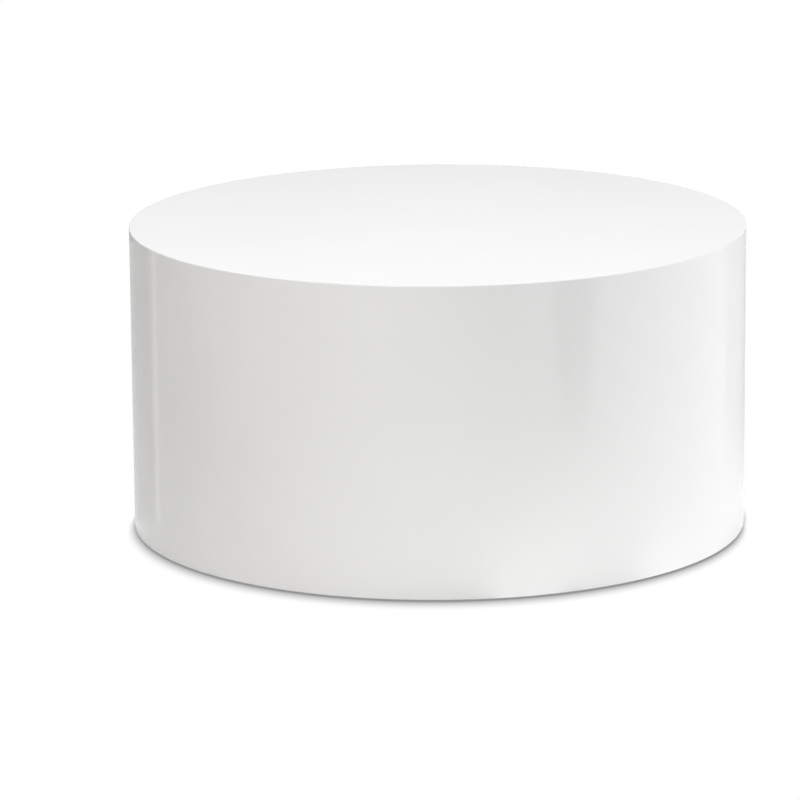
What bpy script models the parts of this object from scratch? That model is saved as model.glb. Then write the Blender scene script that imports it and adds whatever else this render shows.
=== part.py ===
"""Round drum coffee table, 600 mm across and 300 mm high.

A gloss white shell, made of a mitred top panel and a bent wall in two layers, is glued round a frame
of two ring formers, each butted together from four segments, and eight uprights. Four levelling
glides under the lower former lift the rim clear of the floor by a narrow shadow gap.

Metres, +Z up. The origin is on the floor under the centre of the drum, and the front faces -Y.
"""

import math

import bmesh
import bpy
from mathutils import Matrix

# Overall form
DRUM_DIAMETER = 0.600
TABLE_HEIGHT = 0.300
RIM_CLEARANCE = 0.002
ARRIS_RADIUS = 0.001

# Clearance between two pieces that touch, glue line or running fit
FIT = 0.0003

# Boards of the shell
TOP_THICKNESS = 0.018
SKIN_THICKNESS = 0.003
CORE_THICKNESS = 0.008

# Frame inside the shell
FORMER_THICKNESS = 0.018
FORMER_WIDTH = 0.060
FORMER_PARTS = 4
UPRIGHT_COUNT = 8
UPRIGHT_WIDTH = 0.045
UPRIGHT_DEPTH = 0.034

# Seams of the two wall layers, as angles from +X; the core's seam lands on an upright
SKIN_SEAM_ANGLE = math.radians(90.0)
CORE_SEAM_UPRIGHT = 6

# Countersunk wood screws
SCREW_HEAD_RADIUS = 0.004
SCREW_HEAD_DEPTH = 0.0025
SCREW_SHANK_RADIUS = 0.002
SCREW_TIP_LENGTH = 0.004
UPRIGHT_SCREW_BITE = 0.032

# Fixings of the top panel, measured in from the rim of the upper former
TOP_COVER = 0.006
TOP_SCREW_INSET = 0.022
DOWEL_INSET = 0.040
DOWEL_RADIUS = 0.004
DOWEL_CHAMFER = 0.001
DOWEL_RECESS = 0.002

# Levelling glides
FOOT_COUNT = 4
STUD_RADIUS = 0.004
STUD_LENGTH = 0.030
STUD_CHAMFER = 0.001
STUD_FLANGE_LIP = 0.002
STUD_FLANGE_THICKNESS = 0.0015
COLLAR_ACROSS_FLATS = 0.013
COLLAR_HEIGHT = 0.004
PAD_RADIUS = 0.016
PAD_SOLE = 0.002
PAD_LIP = 0.0015
PAD_CHAMFER = 0.0008
INSERT_WALL = 0.0018
INSERT_LENGTH = 0.013
INSERT_FLANGE_LIP = 0.003
INSERT_FLANGE_THICKNESS = 0.0015

# Facets of round pieces
RIM_SEGMENTS = 80
ARRIS_SEGMENTS = 2
SCREW_SEGMENTS = 12
FOOT_SEGMENTS = 18

# Cutters reach this far past the face that they open
CUT_OVERRUN = 0.004
MERGE_DISTANCE = 0.000005
SHARP_ANGLE = math.radians(32.0)

# Radii worked out from the sizes above
DRUM_RADIUS = DRUM_DIAMETER / 2
CORE_OUTER = DRUM_RADIUS - SKIN_THICKNESS - FIT
WALL_BORE = CORE_OUTER - CORE_THICKNESS
FORMER_OUTER = WALL_BORE - FIT
FORMER_INNER = FORMER_OUTER - FORMER_WIDTH
FOOT_CIRCLE = FORMER_OUTER - FORMER_WIDTH / 2
UPRIGHT_CORNER = WALL_BORE * math.cos(math.pi / RIM_SEGMENTS) - FIT
UPRIGHT_FACE = math.sqrt(UPRIGHT_CORNER**2 - (UPRIGHT_WIDTH / 2) ** 2)
UPRIGHT_AXIS = UPRIGHT_FACE - UPRIGHT_DEPTH / 2
STUD_FLANGE_RADIUS = STUD_RADIUS + STUD_FLANGE_LIP
INSERT_BORE = STUD_RADIUS + FIT
INSERT_RADIUS = INSERT_BORE + INSERT_WALL
INSERT_FLANGE_RADIUS = INSERT_RADIUS + INSERT_FLANGE_LIP

# Heights worked out from the floor up
STUD_FLANGE_Z = PAD_SOLE + FIT
PAD_HEIGHT = STUD_FLANGE_Z + STUD_FLANGE_THICKNESS + FIT + PAD_LIP
COLLAR_Z = PAD_HEIGHT + FIT
COLLAR_TOP = COLLAR_Z + COLLAR_HEIGHT
INSERT_Z = COLLAR_TOP + FIT
LOWER_FORMER_Z = INSERT_Z + INSERT_FLANGE_THICKNESS + FIT
LOWER_FORMER_TOP = LOWER_FORMER_Z + FORMER_THICKNESS
TOP_UNDERSIDE = TABLE_HEIGHT - TOP_THICKNESS
UPPER_FORMER_TOP = TOP_UNDERSIDE - FIT
UPPER_FORMER_Z = UPPER_FORMER_TOP - FORMER_THICKNESS

# Lengths of the fixings, each from the face that its head or end starts at
UPRIGHT_SCREW_LENGTH = FORMER_THICKNESS + FIT + UPRIGHT_SCREW_BITE
TOP_SCREW_LENGTH = TABLE_HEIGHT - TOP_COVER - UPPER_FORMER_Z
DOWEL_Z = UPPER_FORMER_Z + DOWEL_RECESS
DOWEL_LENGTH = TABLE_HEIGHT - TOP_COVER - DOWEL_Z


def clear_scene():
    for item in list(bpy.data.objects):
        bpy.data.objects.remove(item, do_unlink=True)


def make_material(name, colour, roughness, metallic=0.0):
    material = bpy.data.materials.new(name)
    material.use_nodes = True
    shader = material.node_tree.nodes["Principled BSDF"]
    shader.inputs["Base Color"].default_value = (*colour, 1.0)
    shader.inputs["Roughness"].default_value = roughness
    shader.inputs["Metallic"].default_value = metallic
    return material


def make_materials():
    return {
        "lacquer": make_material("gloss_white_lacquer", (0.86, 0.86, 0.85), 0.12),
        "board": make_material("raw_fibreboard", (0.36, 0.24, 0.14), 0.75),
        "softwood": make_material("planed_softwood", (0.62, 0.45, 0.26), 0.60),
        "beech": make_material("beech_dowel", (0.55, 0.36, 0.21), 0.55),
        "zinc": make_material("zinc_plated_steel", (0.62, 0.62, 0.60), 0.35, 1.0),
        "nylon": make_material("grey_nylon", (0.16, 0.16, 0.17), 0.50),
    }


def mesh_from(bm, name):
    """Store a finished bmesh, with its faces outward and its round faces smooth."""
    bmesh.ops.recalc_face_normals(bm, faces=bm.faces[:])
    mesh = bpy.data.meshes.new(name)
    bm.to_mesh(mesh)
    bm.free()
    mesh.shade_smooth()
    mesh.set_sharp_from_angle(angle=SHARP_ANGLE)
    return mesh


def turned_mesh(name, profile, segments, ring=False, start=0.0, sweep=math.tau):
    """Turn (radius, height) points about Z: a ring's profile is a loop, the others end on the axis."""
    bm = bmesh.new()
    verts = [bm.verts.new((r * math.cos(start), r * math.sin(start), z)) for r, z in profile]
    edges = [bm.edges.new(pair) for pair in zip(verts, verts[1:])]
    if ring:
        edges.append(bm.edges.new((verts[-1], verts[0])))
    bmesh.ops.spin(
        bm, geom=verts + edges, cent=(0.0, 0.0, 0.0), axis=(0.0, 0.0, 1.0), angle=sweep, steps=segments
    )
    bmesh.ops.remove_doubles(bm, verts=bm.verts[:], dist=MERGE_DISTANCE)
    open_edges = [edge for edge in bm.edges if edge.is_boundary]
    bmesh.ops.holes_fill(bm, edges=open_edges, sides=0)
    return mesh_from(bm, name)


def add_object(name, mesh, material, parent=None):
    item = bpy.data.objects.new(name, mesh)
    bpy.context.scene.collection.objects.link(item)
    if not mesh.materials:
        mesh.materials.append(material)
    item.parent = parent
    return item


def around(radius, angle, height=0.0):
    return (radius * math.cos(angle), radius * math.sin(angle), height)


def upright_angle(index):
    return (index + 0.5) * math.tau / UPRIGHT_COUNT


def bay_angle(share):
    """Angle of the middle of the bay between two uprights that lies nearest to a share of a turn."""
    return round(share * UPRIGHT_COUNT) * math.tau / UPRIGHT_COUNT


def foot_angles():
    return [bay_angle((index + 0.5) / FOOT_COUNT) for index in range(FOOT_COUNT)]


def dowel_angles():
    """One dowel in each segment of the upper former, beside its joints on the left and right."""
    aside = math.tau / UPRIGHT_COUNT / 4
    return [aside, math.pi - aside, math.pi + aside, -aside]


def arris_point(angle):
    """Point of the rounded top edge, at an angle from straight up."""
    radius = DRUM_RADIUS - ARRIS_RADIUS + ARRIS_RADIUS * math.sin(angle)
    height = TABLE_HEIGHT - ARRIS_RADIUS + ARRIS_RADIUS * math.cos(angle)
    return radius, height


def arris_arc(first, last):
    step = (last - first) / ARRIS_SEGMENTS
    return [arris_point(first + step * index) for index in range(ARRIS_SEGMENTS + 1)]


def mitre_height(radius, side):
    """Height of a mitre face: the panel's side is +1 and the wall's side is -1."""
    return TABLE_HEIGHT - (DRUM_RADIUS - radius) + side * FIT / math.sqrt(2)


# Half of the glue line takes this much of the arc on each side of the mitre
MITRE_TURN = math.asin(FIT / 2 / ARRIS_RADIUS)


def top_panel_mesh():
    plug = WALL_BORE - FIT
    profile = [(0.0, TOP_UNDERSIDE), (plug, TOP_UNDERSIDE), (plug, mitre_height(plug, 1))]
    profile += arris_arc(math.pi / 4 - MITRE_TURN, 0.0)
    profile.append((0.0, TABLE_HEIGHT))
    return turned_mesh("top_panel", profile, RIM_SEGMENTS)


def wall_skin_mesh():
    inner = DRUM_RADIUS - SKIN_THICKNESS
    profile = [(DRUM_RADIUS, RIM_CLEARANCE), (inner, RIM_CLEARANCE), (inner, mitre_height(inner, -1))]
    profile += arris_arc(math.pi / 4 + MITRE_TURN, math.pi / 2)
    gap = FIT / DRUM_RADIUS
    start = SKIN_SEAM_ANGLE + gap / 2
    return turned_mesh("wall_skin", profile, RIM_SEGMENTS, True, start, math.tau - gap)


def wall_core_mesh():
    profile = [
        (CORE_OUTER, RIM_CLEARANCE),
        (WALL_BORE, RIM_CLEARANCE),
        (WALL_BORE, mitre_height(WALL_BORE, -1)),
        (CORE_OUTER, mitre_height(CORE_OUTER, -1)),
    ]
    gap = FIT / CORE_OUTER
    start = upright_angle(CORE_SEAM_UPRIGHT) + gap / 2
    return turned_mesh("wall_core", profile, RIM_SEGMENTS, True, start, math.tau - gap)


def former_mesh(name, bottom):
    """First segment of a ring former, with half a glue line left free at each end."""
    top = bottom + FORMER_THICKNESS
    gap = FIT / FORMER_INNER
    sweep = math.tau / FORMER_PARTS - gap
    profile = [(FORMER_OUTER, top), (FORMER_OUTER, bottom), (FORMER_INNER, bottom), (FORMER_INNER, top)]
    return turned_mesh(name, profile, RIM_SEGMENTS // FORMER_PARTS, True, gap / 2, sweep)


def upright_mesh():
    bottom = LOWER_FORMER_TOP + FIT
    length = UPPER_FORMER_Z - FIT - bottom
    size = Matrix.Diagonal((UPRIGHT_DEPTH, UPRIGHT_WIDTH, length, 1.0))
    place = Matrix.Translation((UPRIGHT_AXIS, 0.0, bottom + length / 2))
    bm = bmesh.new()
    bmesh.ops.create_cube(bm, size=1.0, matrix=place @ size)
    return mesh_from(bm, "upright")


def screw_mesh(name, length):
    """Countersunk screw along +Z, with the face of its head at the origin."""
    profile = [
        (0.0, 0.0),
        (SCREW_HEAD_RADIUS, 0.0),
        (SCREW_SHANK_RADIUS, SCREW_HEAD_DEPTH),
        (SCREW_SHANK_RADIUS, length - SCREW_TIP_LENGTH),
        (0.0, length),
    ]
    return turned_mesh(name, profile, SCREW_SEGMENTS)


def screw_hole_mesh(name, length):
    """Clearance of a screw, open past the face that its head sits in."""
    profile = [
        (0.0, -CUT_OVERRUN),
        (SCREW_HEAD_RADIUS + FIT, -CUT_OVERRUN),
        (SCREW_HEAD_RADIUS + FIT, 0.0),
        (SCREW_SHANK_RADIUS + FIT, SCREW_HEAD_DEPTH),
        (SCREW_SHANK_RADIUS + FIT, length + FIT),
        (0.0, length + FIT),
    ]
    return turned_mesh(name, profile, SCREW_SEGMENTS)


def dowel_mesh():
    profile = [
        (0.0, 0.0),
        (DOWEL_RADIUS - DOWEL_CHAMFER, 0.0),
        (DOWEL_RADIUS, DOWEL_CHAMFER),
        (DOWEL_RADIUS, DOWEL_LENGTH - DOWEL_CHAMFER),
        (DOWEL_RADIUS - DOWEL_CHAMFER, DOWEL_LENGTH),
        (0.0, DOWEL_LENGTH),
    ]
    return turned_mesh("top_dowel", profile, SCREW_SEGMENTS)


def round_hole_mesh(name, radius, bottom, top, segments):
    profile = [(0.0, bottom), (radius, bottom), (radius, top), (0.0, top)]
    return turned_mesh(name, profile, segments)


def insert_mesh():
    flange_top = INSERT_Z + INSERT_FLANGE_THICKNESS
    top = flange_top + INSERT_LENGTH
    profile = [
        (INSERT_BORE, INSERT_Z),
        (INSERT_FLANGE_RADIUS, INSERT_Z),
        (INSERT_FLANGE_RADIUS, flange_top),
        (INSERT_RADIUS, flange_top),
        (INSERT_RADIUS, top),
        (INSERT_BORE, top),
    ]
    return turned_mesh("insert_nut", profile, FOOT_SEGMENTS, True)


def pad_mesh():
    neck = STUD_RADIUS + FIT
    socket = STUD_FLANGE_RADIUS + FIT
    lip_z = PAD_HEIGHT - PAD_LIP
    profile = [
        (0.0, 0.0),
        (PAD_RADIUS - PAD_CHAMFER, 0.0),
        (PAD_RADIUS, PAD_CHAMFER),
        (PAD_RADIUS, PAD_HEIGHT - PAD_CHAMFER),
        (PAD_RADIUS - PAD_CHAMFER, PAD_HEIGHT),
        (neck, PAD_HEIGHT),
        (neck, lip_z),
        (socket, lip_z),
        (socket, PAD_SOLE),
        (0.0, PAD_SOLE),
    ]
    return turned_mesh("glide_pad", profile, FOOT_SEGMENTS)


def hexagon_share(angle):
    """Radius of a hexagon at an angle, as a share of half its width across flats."""
    sector = math.pi / 3
    return 1.0 / math.cos((angle % sector) - sector / 2)


def stud_mesh():
    flat = COLLAR_ACROSS_FLATS / 2
    flange_top = STUD_FLANGE_Z + STUD_FLANGE_THICKNESS
    top = COLLAR_TOP + STUD_LENGTH
    profile = [
        (0.0, STUD_FLANGE_Z),
        (STUD_FLANGE_RADIUS, STUD_FLANGE_Z),
        (STUD_FLANGE_RADIUS, flange_top),
        (STUD_RADIUS, flange_top),
        (STUD_RADIUS, COLLAR_Z),
        (flat, COLLAR_Z),
        (flat, COLLAR_TOP),
        (STUD_RADIUS, COLLAR_TOP),
        (STUD_RADIUS, top - STUD_CHAMFER),
        (STUD_RADIUS - STUD_CHAMFER, top),
        (0.0, top),
    ]
    mesh = turned_mesh("glide_stud", profile, FOOT_SEGMENTS)
    for vertex in mesh.vertices:
        if math.isclose(vertex.co.xy.length, flat, abs_tol=MERGE_DISTANCE):
            vertex.co.xy *= hexagon_share(math.atan2(vertex.co.y, vertex.co.x))
    return mesh


def hidden_cutter(name, mesh, places):
    """One object that holds a copy of a cutting shape at each place."""
    bm = bmesh.new()
    for place in places:
        copy = mesh.copy()
        copy.transform(place)
        bm.from_mesh(copy)
        bpy.data.meshes.remove(copy)
    cutter = bpy.data.objects.new(name, mesh_from(bm, name))
    bpy.context.scene.collection.objects.link(cutter)
    cutter.hide_render = True
    cutter.display_type = "WIRE"
    return cutter


def cut(item, cutter):
    modifier = item.modifiers.new(cutter.name, "BOOLEAN")
    modifier.operation = "DIFFERENCE"
    modifier.object = cutter


def up_from(radius, angle, height):
    return Matrix.Translation(around(radius, angle, height))


def down_from(radius, angle, height):
    return up_from(radius, angle, height) @ Matrix.Rotation(math.pi, 4, "X")


def add_series(name, mesh, material, places):
    for number, place in enumerate(places, start=1):
        item = add_object(f"{name}_{number}", mesh, material)
        item.matrix_world = place


def build_shell(materials):
    top = add_object("top_panel", top_panel_mesh(), materials["lacquer"])
    add_object("wall_skin", wall_skin_mesh(), materials["lacquer"])
    add_object("wall_core", wall_core_mesh(), materials["board"])
    return top


def add_ring(name, mesh, material, angles):
    """Copies of one piece set round the drum's axis, each turned to its angle."""
    items = []
    for number, angle in enumerate(angles, start=1):
        item = add_object(f"{name}_{number}", mesh, material)
        item.rotation_euler.z = angle
        items.append(item)
    return items


def build_frame(materials):
    starts = [index * math.tau / FORMER_PARTS for index in range(FORMER_PARTS)]
    upper_mesh = former_mesh("upper_former", UPPER_FORMER_Z)
    lower_mesh = former_mesh("lower_former", LOWER_FORMER_Z)
    upper = add_ring("upper_former", upper_mesh, materials["board"], starts)
    lower = add_ring("lower_former", lower_mesh, materials["board"], starts)
    angles = [upright_angle(index) for index in range(UPRIGHT_COUNT)]
    uprights = add_ring("upright", upright_mesh(), materials["softwood"], angles)
    return upper, lower, uprights


def build_upright_screws(materials, upper, lower, uprights):
    angles = [upright_angle(index) for index in range(UPRIGHT_COUNT)]
    from_above = [down_from(UPRIGHT_AXIS, angle, UPPER_FORMER_TOP) for angle in angles]
    from_below = [up_from(UPRIGHT_AXIS, angle, LOWER_FORMER_Z) for angle in angles]
    mesh = screw_mesh("upright_screw", UPRIGHT_SCREW_LENGTH)
    add_series("upright_upper_screw", mesh, materials["zinc"], from_above)
    add_series("upright_lower_screw", mesh, materials["zinc"], from_below)
    hole = screw_hole_mesh("upright_screw_hole", UPRIGHT_SCREW_LENGTH)
    cutter = hidden_cutter("upright_screw_holes", hole, from_above + from_below)
    for item in (*upper, *lower, *uprights):
        cut(item, cutter)


def build_top_fixings(materials, top, upper):
    screw_circle = FORMER_OUTER - TOP_SCREW_INSET
    screws = [up_from(screw_circle, angle, UPPER_FORMER_Z) for angle in foot_angles()]
    add_series("top_screw", screw_mesh("top_screw", TOP_SCREW_LENGTH), materials["zinc"], screws)
    screw_holes = hidden_cutter(
        "top_screw_holes", screw_hole_mesh("top_screw_hole", TOP_SCREW_LENGTH), screws
    )
    dowels = [up_from(FORMER_OUTER - DOWEL_INSET, angle, DOWEL_Z) for angle in dowel_angles()]
    add_series("top_dowel", dowel_mesh(), materials["beech"], dowels)
    drilling = round_hole_mesh(
        "top_dowel_hole", DOWEL_RADIUS + FIT, -DOWEL_RECESS - CUT_OVERRUN, DOWEL_LENGTH + FIT, SCREW_SEGMENTS
    )
    dowel_holes = hidden_cutter("top_dowel_holes", drilling, dowels)
    for item in (top, *upper):
        cut(item, screw_holes)
        cut(item, dowel_holes)


def build_feet(materials, lower):
    shapes = {
        "insert_nut": (insert_mesh(), materials["zinc"]),
        "glide_stud": (stud_mesh(), materials["zinc"]),
        "glide_pad": (pad_mesh(), materials["nylon"]),
    }
    for number, angle in enumerate(foot_angles(), start=1):
        axis = bpy.data.objects.new(f"foot_axis_{number}", None)
        bpy.context.scene.collection.objects.link(axis)
        axis.location = around(FOOT_CIRCLE, angle)
        for name, (mesh, material) in shapes.items():
            add_object(f"{name}_{number}", mesh, material, axis)
    hole = round_hole_mesh(
        "insert_hole",
        INSERT_RADIUS + FIT,
        LOWER_FORMER_Z - CUT_OVERRUN,
        LOWER_FORMER_TOP + CUT_OVERRUN,
        FOOT_SEGMENTS,
    )
    places = [Matrix.Translation(around(FOOT_CIRCLE, angle)) for angle in foot_angles()]
    cutter = hidden_cutter("insert_holes", hole, places)
    for item in lower:
        cut(item, cutter)


def main():
    clear_scene()
    materials = make_materials()
    top = build_shell(materials)
    upper, lower, uprights = build_frame(materials)
    build_upright_screws(materials, upper, lower, uprights)
    build_top_fixings(materials, top, upper)
    build_feet(materials, lower)


main()
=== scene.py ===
"""Round drum coffee table in gloss white lacquer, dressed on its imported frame.

The frame gives the place and outer size of every piece. Each operator models one piece, or one group
of like pieces, gives it its finish and lets it ride on its body. Metres, +Z up, front towards -Y.
"""

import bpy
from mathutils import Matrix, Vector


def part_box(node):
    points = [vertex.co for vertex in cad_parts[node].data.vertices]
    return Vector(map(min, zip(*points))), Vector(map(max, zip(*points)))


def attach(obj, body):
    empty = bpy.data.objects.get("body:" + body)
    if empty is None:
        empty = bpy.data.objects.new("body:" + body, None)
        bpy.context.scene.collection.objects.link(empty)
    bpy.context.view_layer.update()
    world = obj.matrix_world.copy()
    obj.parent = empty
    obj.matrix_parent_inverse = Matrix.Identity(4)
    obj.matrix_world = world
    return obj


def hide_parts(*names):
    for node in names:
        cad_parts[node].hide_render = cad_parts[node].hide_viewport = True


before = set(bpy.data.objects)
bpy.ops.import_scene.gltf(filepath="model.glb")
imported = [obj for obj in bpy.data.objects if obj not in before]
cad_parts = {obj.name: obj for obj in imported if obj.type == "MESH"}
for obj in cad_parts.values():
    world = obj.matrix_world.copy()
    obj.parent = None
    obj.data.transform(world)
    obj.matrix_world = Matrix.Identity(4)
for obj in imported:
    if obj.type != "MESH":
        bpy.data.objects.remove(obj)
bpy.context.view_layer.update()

import math

import bmesh
import bpy
from bpy.props import FloatProperty, FloatVectorProperty, IntProperty, PointerProperty
from bpy.types import NodeSocket, Operator, Panel, PropertyGroup
from mathutils import Matrix, Vector

bl_info = {
    "name": "Drum Coffee Table",
    "version": (1, 0, 0),
    "blender": (4, 5, 0),
    "location": "3D View > Sidebar > Drum Table",
    "description": "Models and finishes a round lacquered coffee table on its packed frame",
    "category": "Object",
}

# Places and outer sizes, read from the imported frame
DRUM_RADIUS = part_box("wall_skin")[1].x
RIM_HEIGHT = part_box("wall_skin")[0].z
TABLE_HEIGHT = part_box("top_panel")[1].z
TOP_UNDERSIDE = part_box("top_panel")[0].z
CORE_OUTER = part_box("wall_core")[1].x
FORMER_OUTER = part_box("upper_former_1")[1].x
FIT = TOP_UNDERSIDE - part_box("upper_former_1")[1].z
WALL_BORE = FORMER_OUTER + FIT

# Facets and small tolerances of the modelling
RIM_FACETS = 320
FORMER_FACETS = 160
SMALL_FACETS = 48
THREAD_FACETS = 20
FLUTE_FACETS = 3
ARC_STEPS = 6
MERGE = 0.000001
SLIVER = 0.000002
NEAR = 0.00002
OVERRUN = 0.004
SMOOTH_ANGLE = math.radians(33.0)
QUARTER = math.pi / 2.0
EIGHTH = math.pi / 4.0
ORIGIN = (0.0, 0.0, 0.0)
UPWARD = (0.0, 0.0, 1.0)

# Where the top has its rings of points, in twelfths of its radius
TOP_RINGS = (1.0, 3.0, 6.0, 9.0, 11.0)
# Where the flat beside a rounded edge has its nearest points, in radii of the edge from the corner
EDGE_HOLD = 1.25
# Width of a thread's crest, as a share of its pitch
THREAD_CREST = 0.2
# Ring of a screw's face, and length, width, height and taper of its cross cutter, as shares of the head
HEAD_RING = 0.6
CROSS = (1.05, 0.26, 1.5)
CROSS_TAPER = 0.45
# A screw's bare neck, as a share of the way from its thread's root to its crest
SCREW_NECK = 0.4
# What is left of a thread's width at a screw's point and at the end of a stud
SCREW_POINT = 0.04
STUD_POINT = 0.84
# How much further each screw was driven round than the one before it
SCREW_TURN = 0.7
# Series of wood screws, and whether they point down
SCREWS = (("upright_upper_screw", True), ("upright_lower_screw", False), ("top_screw", False))
# Where the floor of a groove between an insert's ribs starts and ends, as shares of their step
RIB_GROOVE = (0.35, 0.65)
# The cutter of an insert's notches: length and width in radii of its flange, height in thicknesses
NOTCH = (3.0, 0.22, 0.9)
# Radius at which a collar's faces are turned off, as a share of half its width across flats
COLLAR_FACE = 0.98
# A pad's rings, as shares of its radius: raised middle, shoulder, grooves and middle of the sole
PAD_CROWN = 0.62
PAD_SHOULDER = 0.66
PAD_TREADS = (0.80, 0.62, 0.44)
PAD_MIDDLE = 0.2
# How far below its top a pad's shoulder and the centre of its outer edge lie, in radii of that edge
SHOULDER_FALL = 0.7
EDGE_FALL = 1.9
# Ring in the floor of a pad's socket, as a share of its radius
SOCKET_RING = 0.4
# Lowest and highest roughness of the lacquer, as shares of the value that is set for it
GLOSS_SPREAD = (0.8, 1.3)
# How much finer the second of two drifts of tone is
FINER = 7.0


def property_kind(kind, **settings):
    """A kind of property that still takes its name, description and default."""

    def made(name, description, default):
        return kind(name=name, description=description, default=default, **settings)

    return made


length = property_kind(FloatProperty, min=0.0, precision=5, unit="LENGTH")
bearing = property_kind(FloatProperty, subtype="ANGLE")
focal_length = property_kind(FloatProperty, min=1.0, unit="CAMERA")
amount = property_kind(FloatProperty, min=0.0)
share = property_kind(FloatProperty, min=0.0, max=1.0, subtype="FACTOR")
count = property_kind(IntProperty, min=3)
colour = property_kind(FloatVectorProperty, size=3, min=0.0, max=1.0, subtype="COLOR")


class DrumShell(PropertyGroup):
    """Sizes of the lacquered shell."""

    arris: length("Arris", "Radius of the edge between the top and the wall", 0.001)
    joint: length("Mitre joint", "Width of the filled mitre where it shows in the arris", 0.00006)
    rim_ease: length("Rim ease", "Radius of the lower outer edge of the wall", 0.0008)
    seam_width: length("Seam width", "Width of the filled butt seam at the back of the wall", 0.0005)
    seam_depth: length("Seam depth", "How far the filled seam has sunk", 0.00004)
    kerf_count: count("Kerfs", "Saw kerfs that let the wall core bend", 240)
    kerf_width: length("Kerf width", "Width of a saw kerf", 0.0012)
    kerf_depth: length("Kerf depth", "Depth of a saw kerf", 0.0055)


class DrumFrame(PropertyGroup):
    """Sizes of the frame inside the shell."""

    former_width: length("Former width", "Width of the ring formers", 0.060)
    former_ease: length("Former ease", "Chamfer on the sawn edges of the formers", 0.0005)
    upright_width: length("Upright width", "Width of an upright along the wall", 0.045)
    upright_depth: length("Upright depth", "Depth of an upright towards the middle", 0.034)
    upright_ease: length("Upright ease", "Rounding of the planed edges of an upright", 0.002)


class DrumFixings(PropertyGroup):
    """Sizes of the screws, dowels and levelling glides."""

    screw_head: length("Screw head", "Radius of a countersunk head", 0.004)
    screw_sink: length("Screw sink", "Depth of a countersunk head", 0.0025)
    screw_crest: length("Screw crest", "Outer radius of a wood thread", 0.002)
    screw_root: length("Screw root", "Inner radius of a wood thread", 0.0013)
    screw_pitch: length("Screw pitch", "Pitch of a wood thread", 0.0018)
    screw_tip: length("Screw tip", "Length of a screw's point", 0.004)
    dowel_flutes: count("Dowel flutes", "Glue flutes round a dowel", 14)
    flute_depth: length("Flute depth", "Depth of a glue flute", 0.00035)
    insert_flange: length("Insert flange", "How far a flange stands out from its insert", 0.003)
    insert_plate: length("Insert plate", "Thickness of an insert's flange", 0.0015)
    insert_ribs: count("Insert ribs", "Grooves between the ribs of an insert", 6)
    rib_depth: length("Rib depth", "Depth of the grooves between the ribs", 0.0006)
    stud_crest: length("Stud crest", "Outer radius of a glide's machine thread", 0.004)
    stud_root: length("Stud root", "Inner radius of a glide's machine thread", 0.00335)
    stud_pitch: length("Stud pitch", "Pitch of a glide's machine thread", 0.00125)
    stud_foot: length("Stud foot", "How far a stud's foot stands out under the pad's lip", 0.002)
    foot_plate: length("Foot plate", "Thickness of a stud's foot", 0.0015)
    collar_width: length("Collar width", "Width across flats of a glide's collar", 0.013)
    pad_lip: length("Pad lip", "Thickness of the lip that holds a stud's foot", 0.0015)
    pad_ease: length("Pad ease", "Radius of the edges of a pad", 0.0008)
    tread_width: length("Tread width", "Width of a groove in the sole of a pad", 0.0012)
    tread_depth: length("Tread depth", "Depth of a groove in the sole of a pad", 0.0004)


class DrumFinish(PropertyGroup):
    """Colours and gloss of the finishes."""

    lacquer: colour("Lacquer", "White of the sprayed lacquer", (0.848, 0.847, 0.845))
    lacquer_deep: colour("Lacquer, thin film", "White where the film is thinnest", (0.824, 0.822, 0.819))
    gloss: share("Lacquer roughness", "Roughness of the polished lacquer", 0.11)
    peel: length("Orange peel", "Height of the spray texture", 0.000012)
    mist_height: length("Mist height", "How far up the inside the lacquer mist has drifted", 0.022)
    mist_reach: length("Mist reach", "How far in from the wall the lacquer mist has drifted", 0.034)
    board: colour("Board", "Face of bare fibreboard", (0.400, 0.265, 0.148))
    board_dark: colour("Board, dark fibre", "Darker fibres of bare fibreboard", (0.255, 0.158, 0.082))
    softwood: colour("Softwood", "Early wood of the uprights", (0.660, 0.465, 0.255))
    softwood_late: colour("Softwood, late wood", "Late wood of the uprights", (0.470, 0.262, 0.108))
    beech: colour("Beech", "Face of a dowel", (0.580, 0.375, 0.215))
    beech_fleck: colour("Beech fleck", "Rays in a dowel", (0.385, 0.218, 0.112))
    zinc: colour("Zinc", "Bright zinc plate", (0.640, 0.645, 0.640))
    zinc_dull: colour("Zinc, dull", "Zinc plate where it has dulled", (0.465, 0.475, 0.480))
    nylon: colour("Nylon", "Moulded nylon of the pads", (0.150, 0.150, 0.158))
    nylon_scuffed: colour("Nylon, scuffed", "Nylon where the pad has rubbed", (0.265, 0.265, 0.270))


class DrumStudio(PropertyGroup):
    """Camera, floor and light of the studio."""

    camera_distance: length("Camera distance", "Level distance from the drum's axis", 4.7005)
    camera_height: length("Camera height", "Height of the lens above the floor", 1.2453)
    camera_pitch: bearing("Camera pitch", "How far the camera looks down", math.radians(13.444))
    camera_yaw: bearing("Camera yaw", "How far to the left of the drum it looks", math.radians(0.461))
    camera_roll: bearing("Camera roll", "How far it leans to the left", math.radians(-0.46))
    camera_lens: focal_length("Lens", "Focal length of the camera", 221.47)
    floor: colour("Floor", "Floor as the light sees it", (0.80, 0.80, 0.80))
    floor_reach: length("Floor reach", "Radius of the floor", 40.0)
    contact_reach: length("Contact reach", "Reach of the contact shadow in front of the drum", 0.030)
    contact_aside: length("Contact reach aside", "Reach of the contact shadow beside the drum", 0.004)
    contact_behind: length("Contact reach behind", "Reach of the contact shadow behind the drum", 0.020)
    contact_lean: bearing("Contact lean", "How far to the right it reaches furthest", math.radians(-5.0))
    contact_depth: share("Contact depth", "How dark the contact shadow is", 0.70)
    contact_gain: amount("Contact gain", "How soon the contact shadow is at its darkest", 1.65)
    contact_fall: amount("Contact fall", "How fast the contact shadow fades out", 1.2)
    dome: amount("Dome light", "Strength of the even light from all round", 0.06)


def numbered(stem):
    """The frame's nodes of one series, in order."""
    return sorted(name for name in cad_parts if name.rpartition("_")[0] == stem)


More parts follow.
